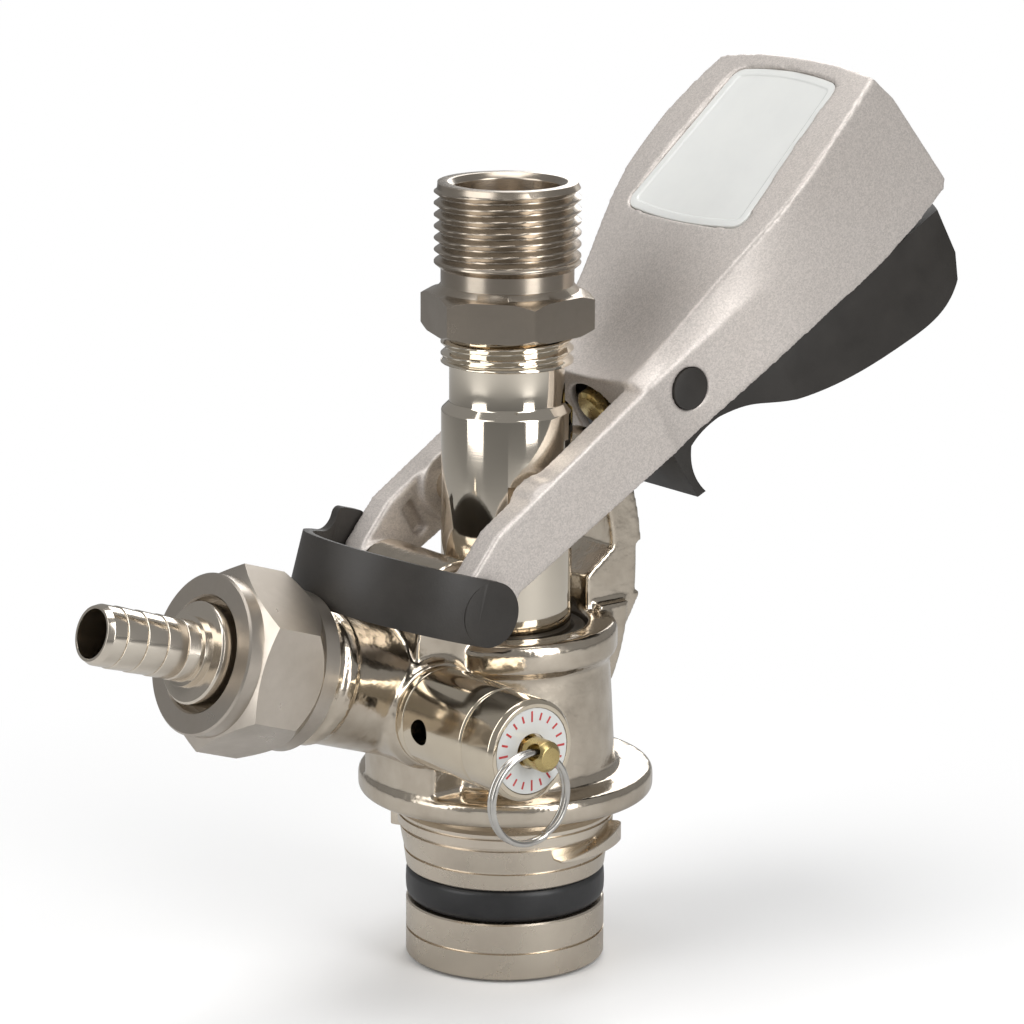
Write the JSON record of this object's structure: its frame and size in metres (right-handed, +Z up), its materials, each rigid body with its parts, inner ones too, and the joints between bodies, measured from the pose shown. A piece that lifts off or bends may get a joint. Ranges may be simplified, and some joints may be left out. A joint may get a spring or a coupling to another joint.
{
  "type": "keg coupler",
  "caption": "Coupler that locks on a keg valve: a lever with a trigger latch drives a sliding probe, with a side gas inlet, a pull-ring relief valve and a threaded outlet on top.",
  "frame": {"origin": "on the probe's axis at the lower face of the neck, where it stands", "axes": "+Z up along the probe, +X towards the lever's handle, -X towards the gas inlet, -Y towards the relief valve"},
  "size_m": [0.16, 0.063, 0.1394],
  "materials": {
    "turned_steel": "fine turned stainless steel",
    "probe_steel": "polished turned stainless steel",
    "nut_steel": "satin turned steel",
    "nickel_casting": "bright nickel-plated casting",
    "nickel_sleeve": "bright nickel-plated, turned",
    "silver_paint": "satin silver paint on a casting",
    "black_plastic": "black glass-filled plastic",
    "grey_plastic": "plain acetal",
    "white_plastic": "glossy white plate",
    "black_rubber": "smooth nitrile rubber",
    "fibre": "pressed fibre",
    "brass": "bare machined brass",
    "spring_steel": "bright spring wire"
  },
  "bodies": {
    "body": {"neck_fitting": "turned_steel", "neck_o_ring": "black_rubber", "keg_seal": "black_rubber", "body_casting": "nickel_casting", "probe_seal": "black_rubber", "probe_guide": "black_plastic", "hinge_pin": "turned_steel", "pin_strap": "black_plastic", "gas_check_valve": "black_rubber", "gas_washer": "fibre", "gas_tailpiece": "turned_steel", "gas_union_nut": "nut_steel", "relief_body": "nickel_sleeve", "relief_cap": "nickel_sleeve", "relief_label": "white_plastic", "relief_spring": "spring_steel"},
    "relief": {"relief_seal": "black_rubber", "relief_stem": "turned_steel", "relief_knob": "brass"},
    "ring": {"pull_ring": "spring_steel"},
    "probe": {"probe_tube": "probe_steel", "probe_tip_seal": "black_rubber", "ball_retainer": "grey_plastic", "outlet_washer": "fibre", "outlet_adapter": "turned_steel"},
    "ball": {"check_ball": "turned_steel"},
    "lever": {"lever": "silver_paint", "handle_badge": "white_plastic", "drive_pins": "turned_steel", "latch_spring": "spring_steel"},
    "trigger": {"trigger": "black_plastic"},
    "latch": {"latch_plunger": "brass", "latch_dowel": "turned_steel"}
  },
  "joints": [
    {"name": "lever_hinge", "type": "hinge", "parent": "body", "child": "lever", "pos_m": [-0.01675, 0, 0.062], "axis": [0, 1, 0], "range_deg": [0, 38]},
    {"name": "probe_slide", "type": "slide", "parent": "body", "child": "probe", "axis": [0, 0, -1], "range_m": [0, 0.01148]},
    {"name": "ball_lift", "type": "slide", "parent": "probe", "child": "ball", "axis": [0, 0, 1], "range_m": [0, 0.0016]},
    {"name": "trigger_squeeze", "type": "hinge", "parent": "lever", "child": "trigger", "pos_m": [0.02375, 0, 0.09182], "axis": [0, -1, 0], "range_deg": [-4.3, 2.8]},
    {"name": "latch_slide", "type": "slide", "parent": "lever", "child": "latch", "axis": [0.8643, 0, 0.503], "range_m": [-0.00076, 0.0005]},
    {"name": "relief_pull", "type": "slide", "parent": "body", "child": "relief", "axis": [0, -1, 0], "range_m": [0, 0.003], "deforming": ["relief_spring"]},
    {"name": "ring_swing", "type": "hinge", "parent": "relief", "child": "ring", "pos_m": [-0.0214, -0.03735, 0.0452], "axis": [-0.9135, 0, 0.4067], "range_deg": [0, 90]}
  ],
  "couplings": [
    {"joint": "probe_slide", "follows": "lever_hinge", "m_per_rad": 0.017305},
    {"joint": "latch_slide", "follows": "trigger_squeeze", "m_per_rad": 0.01}
  ]
}
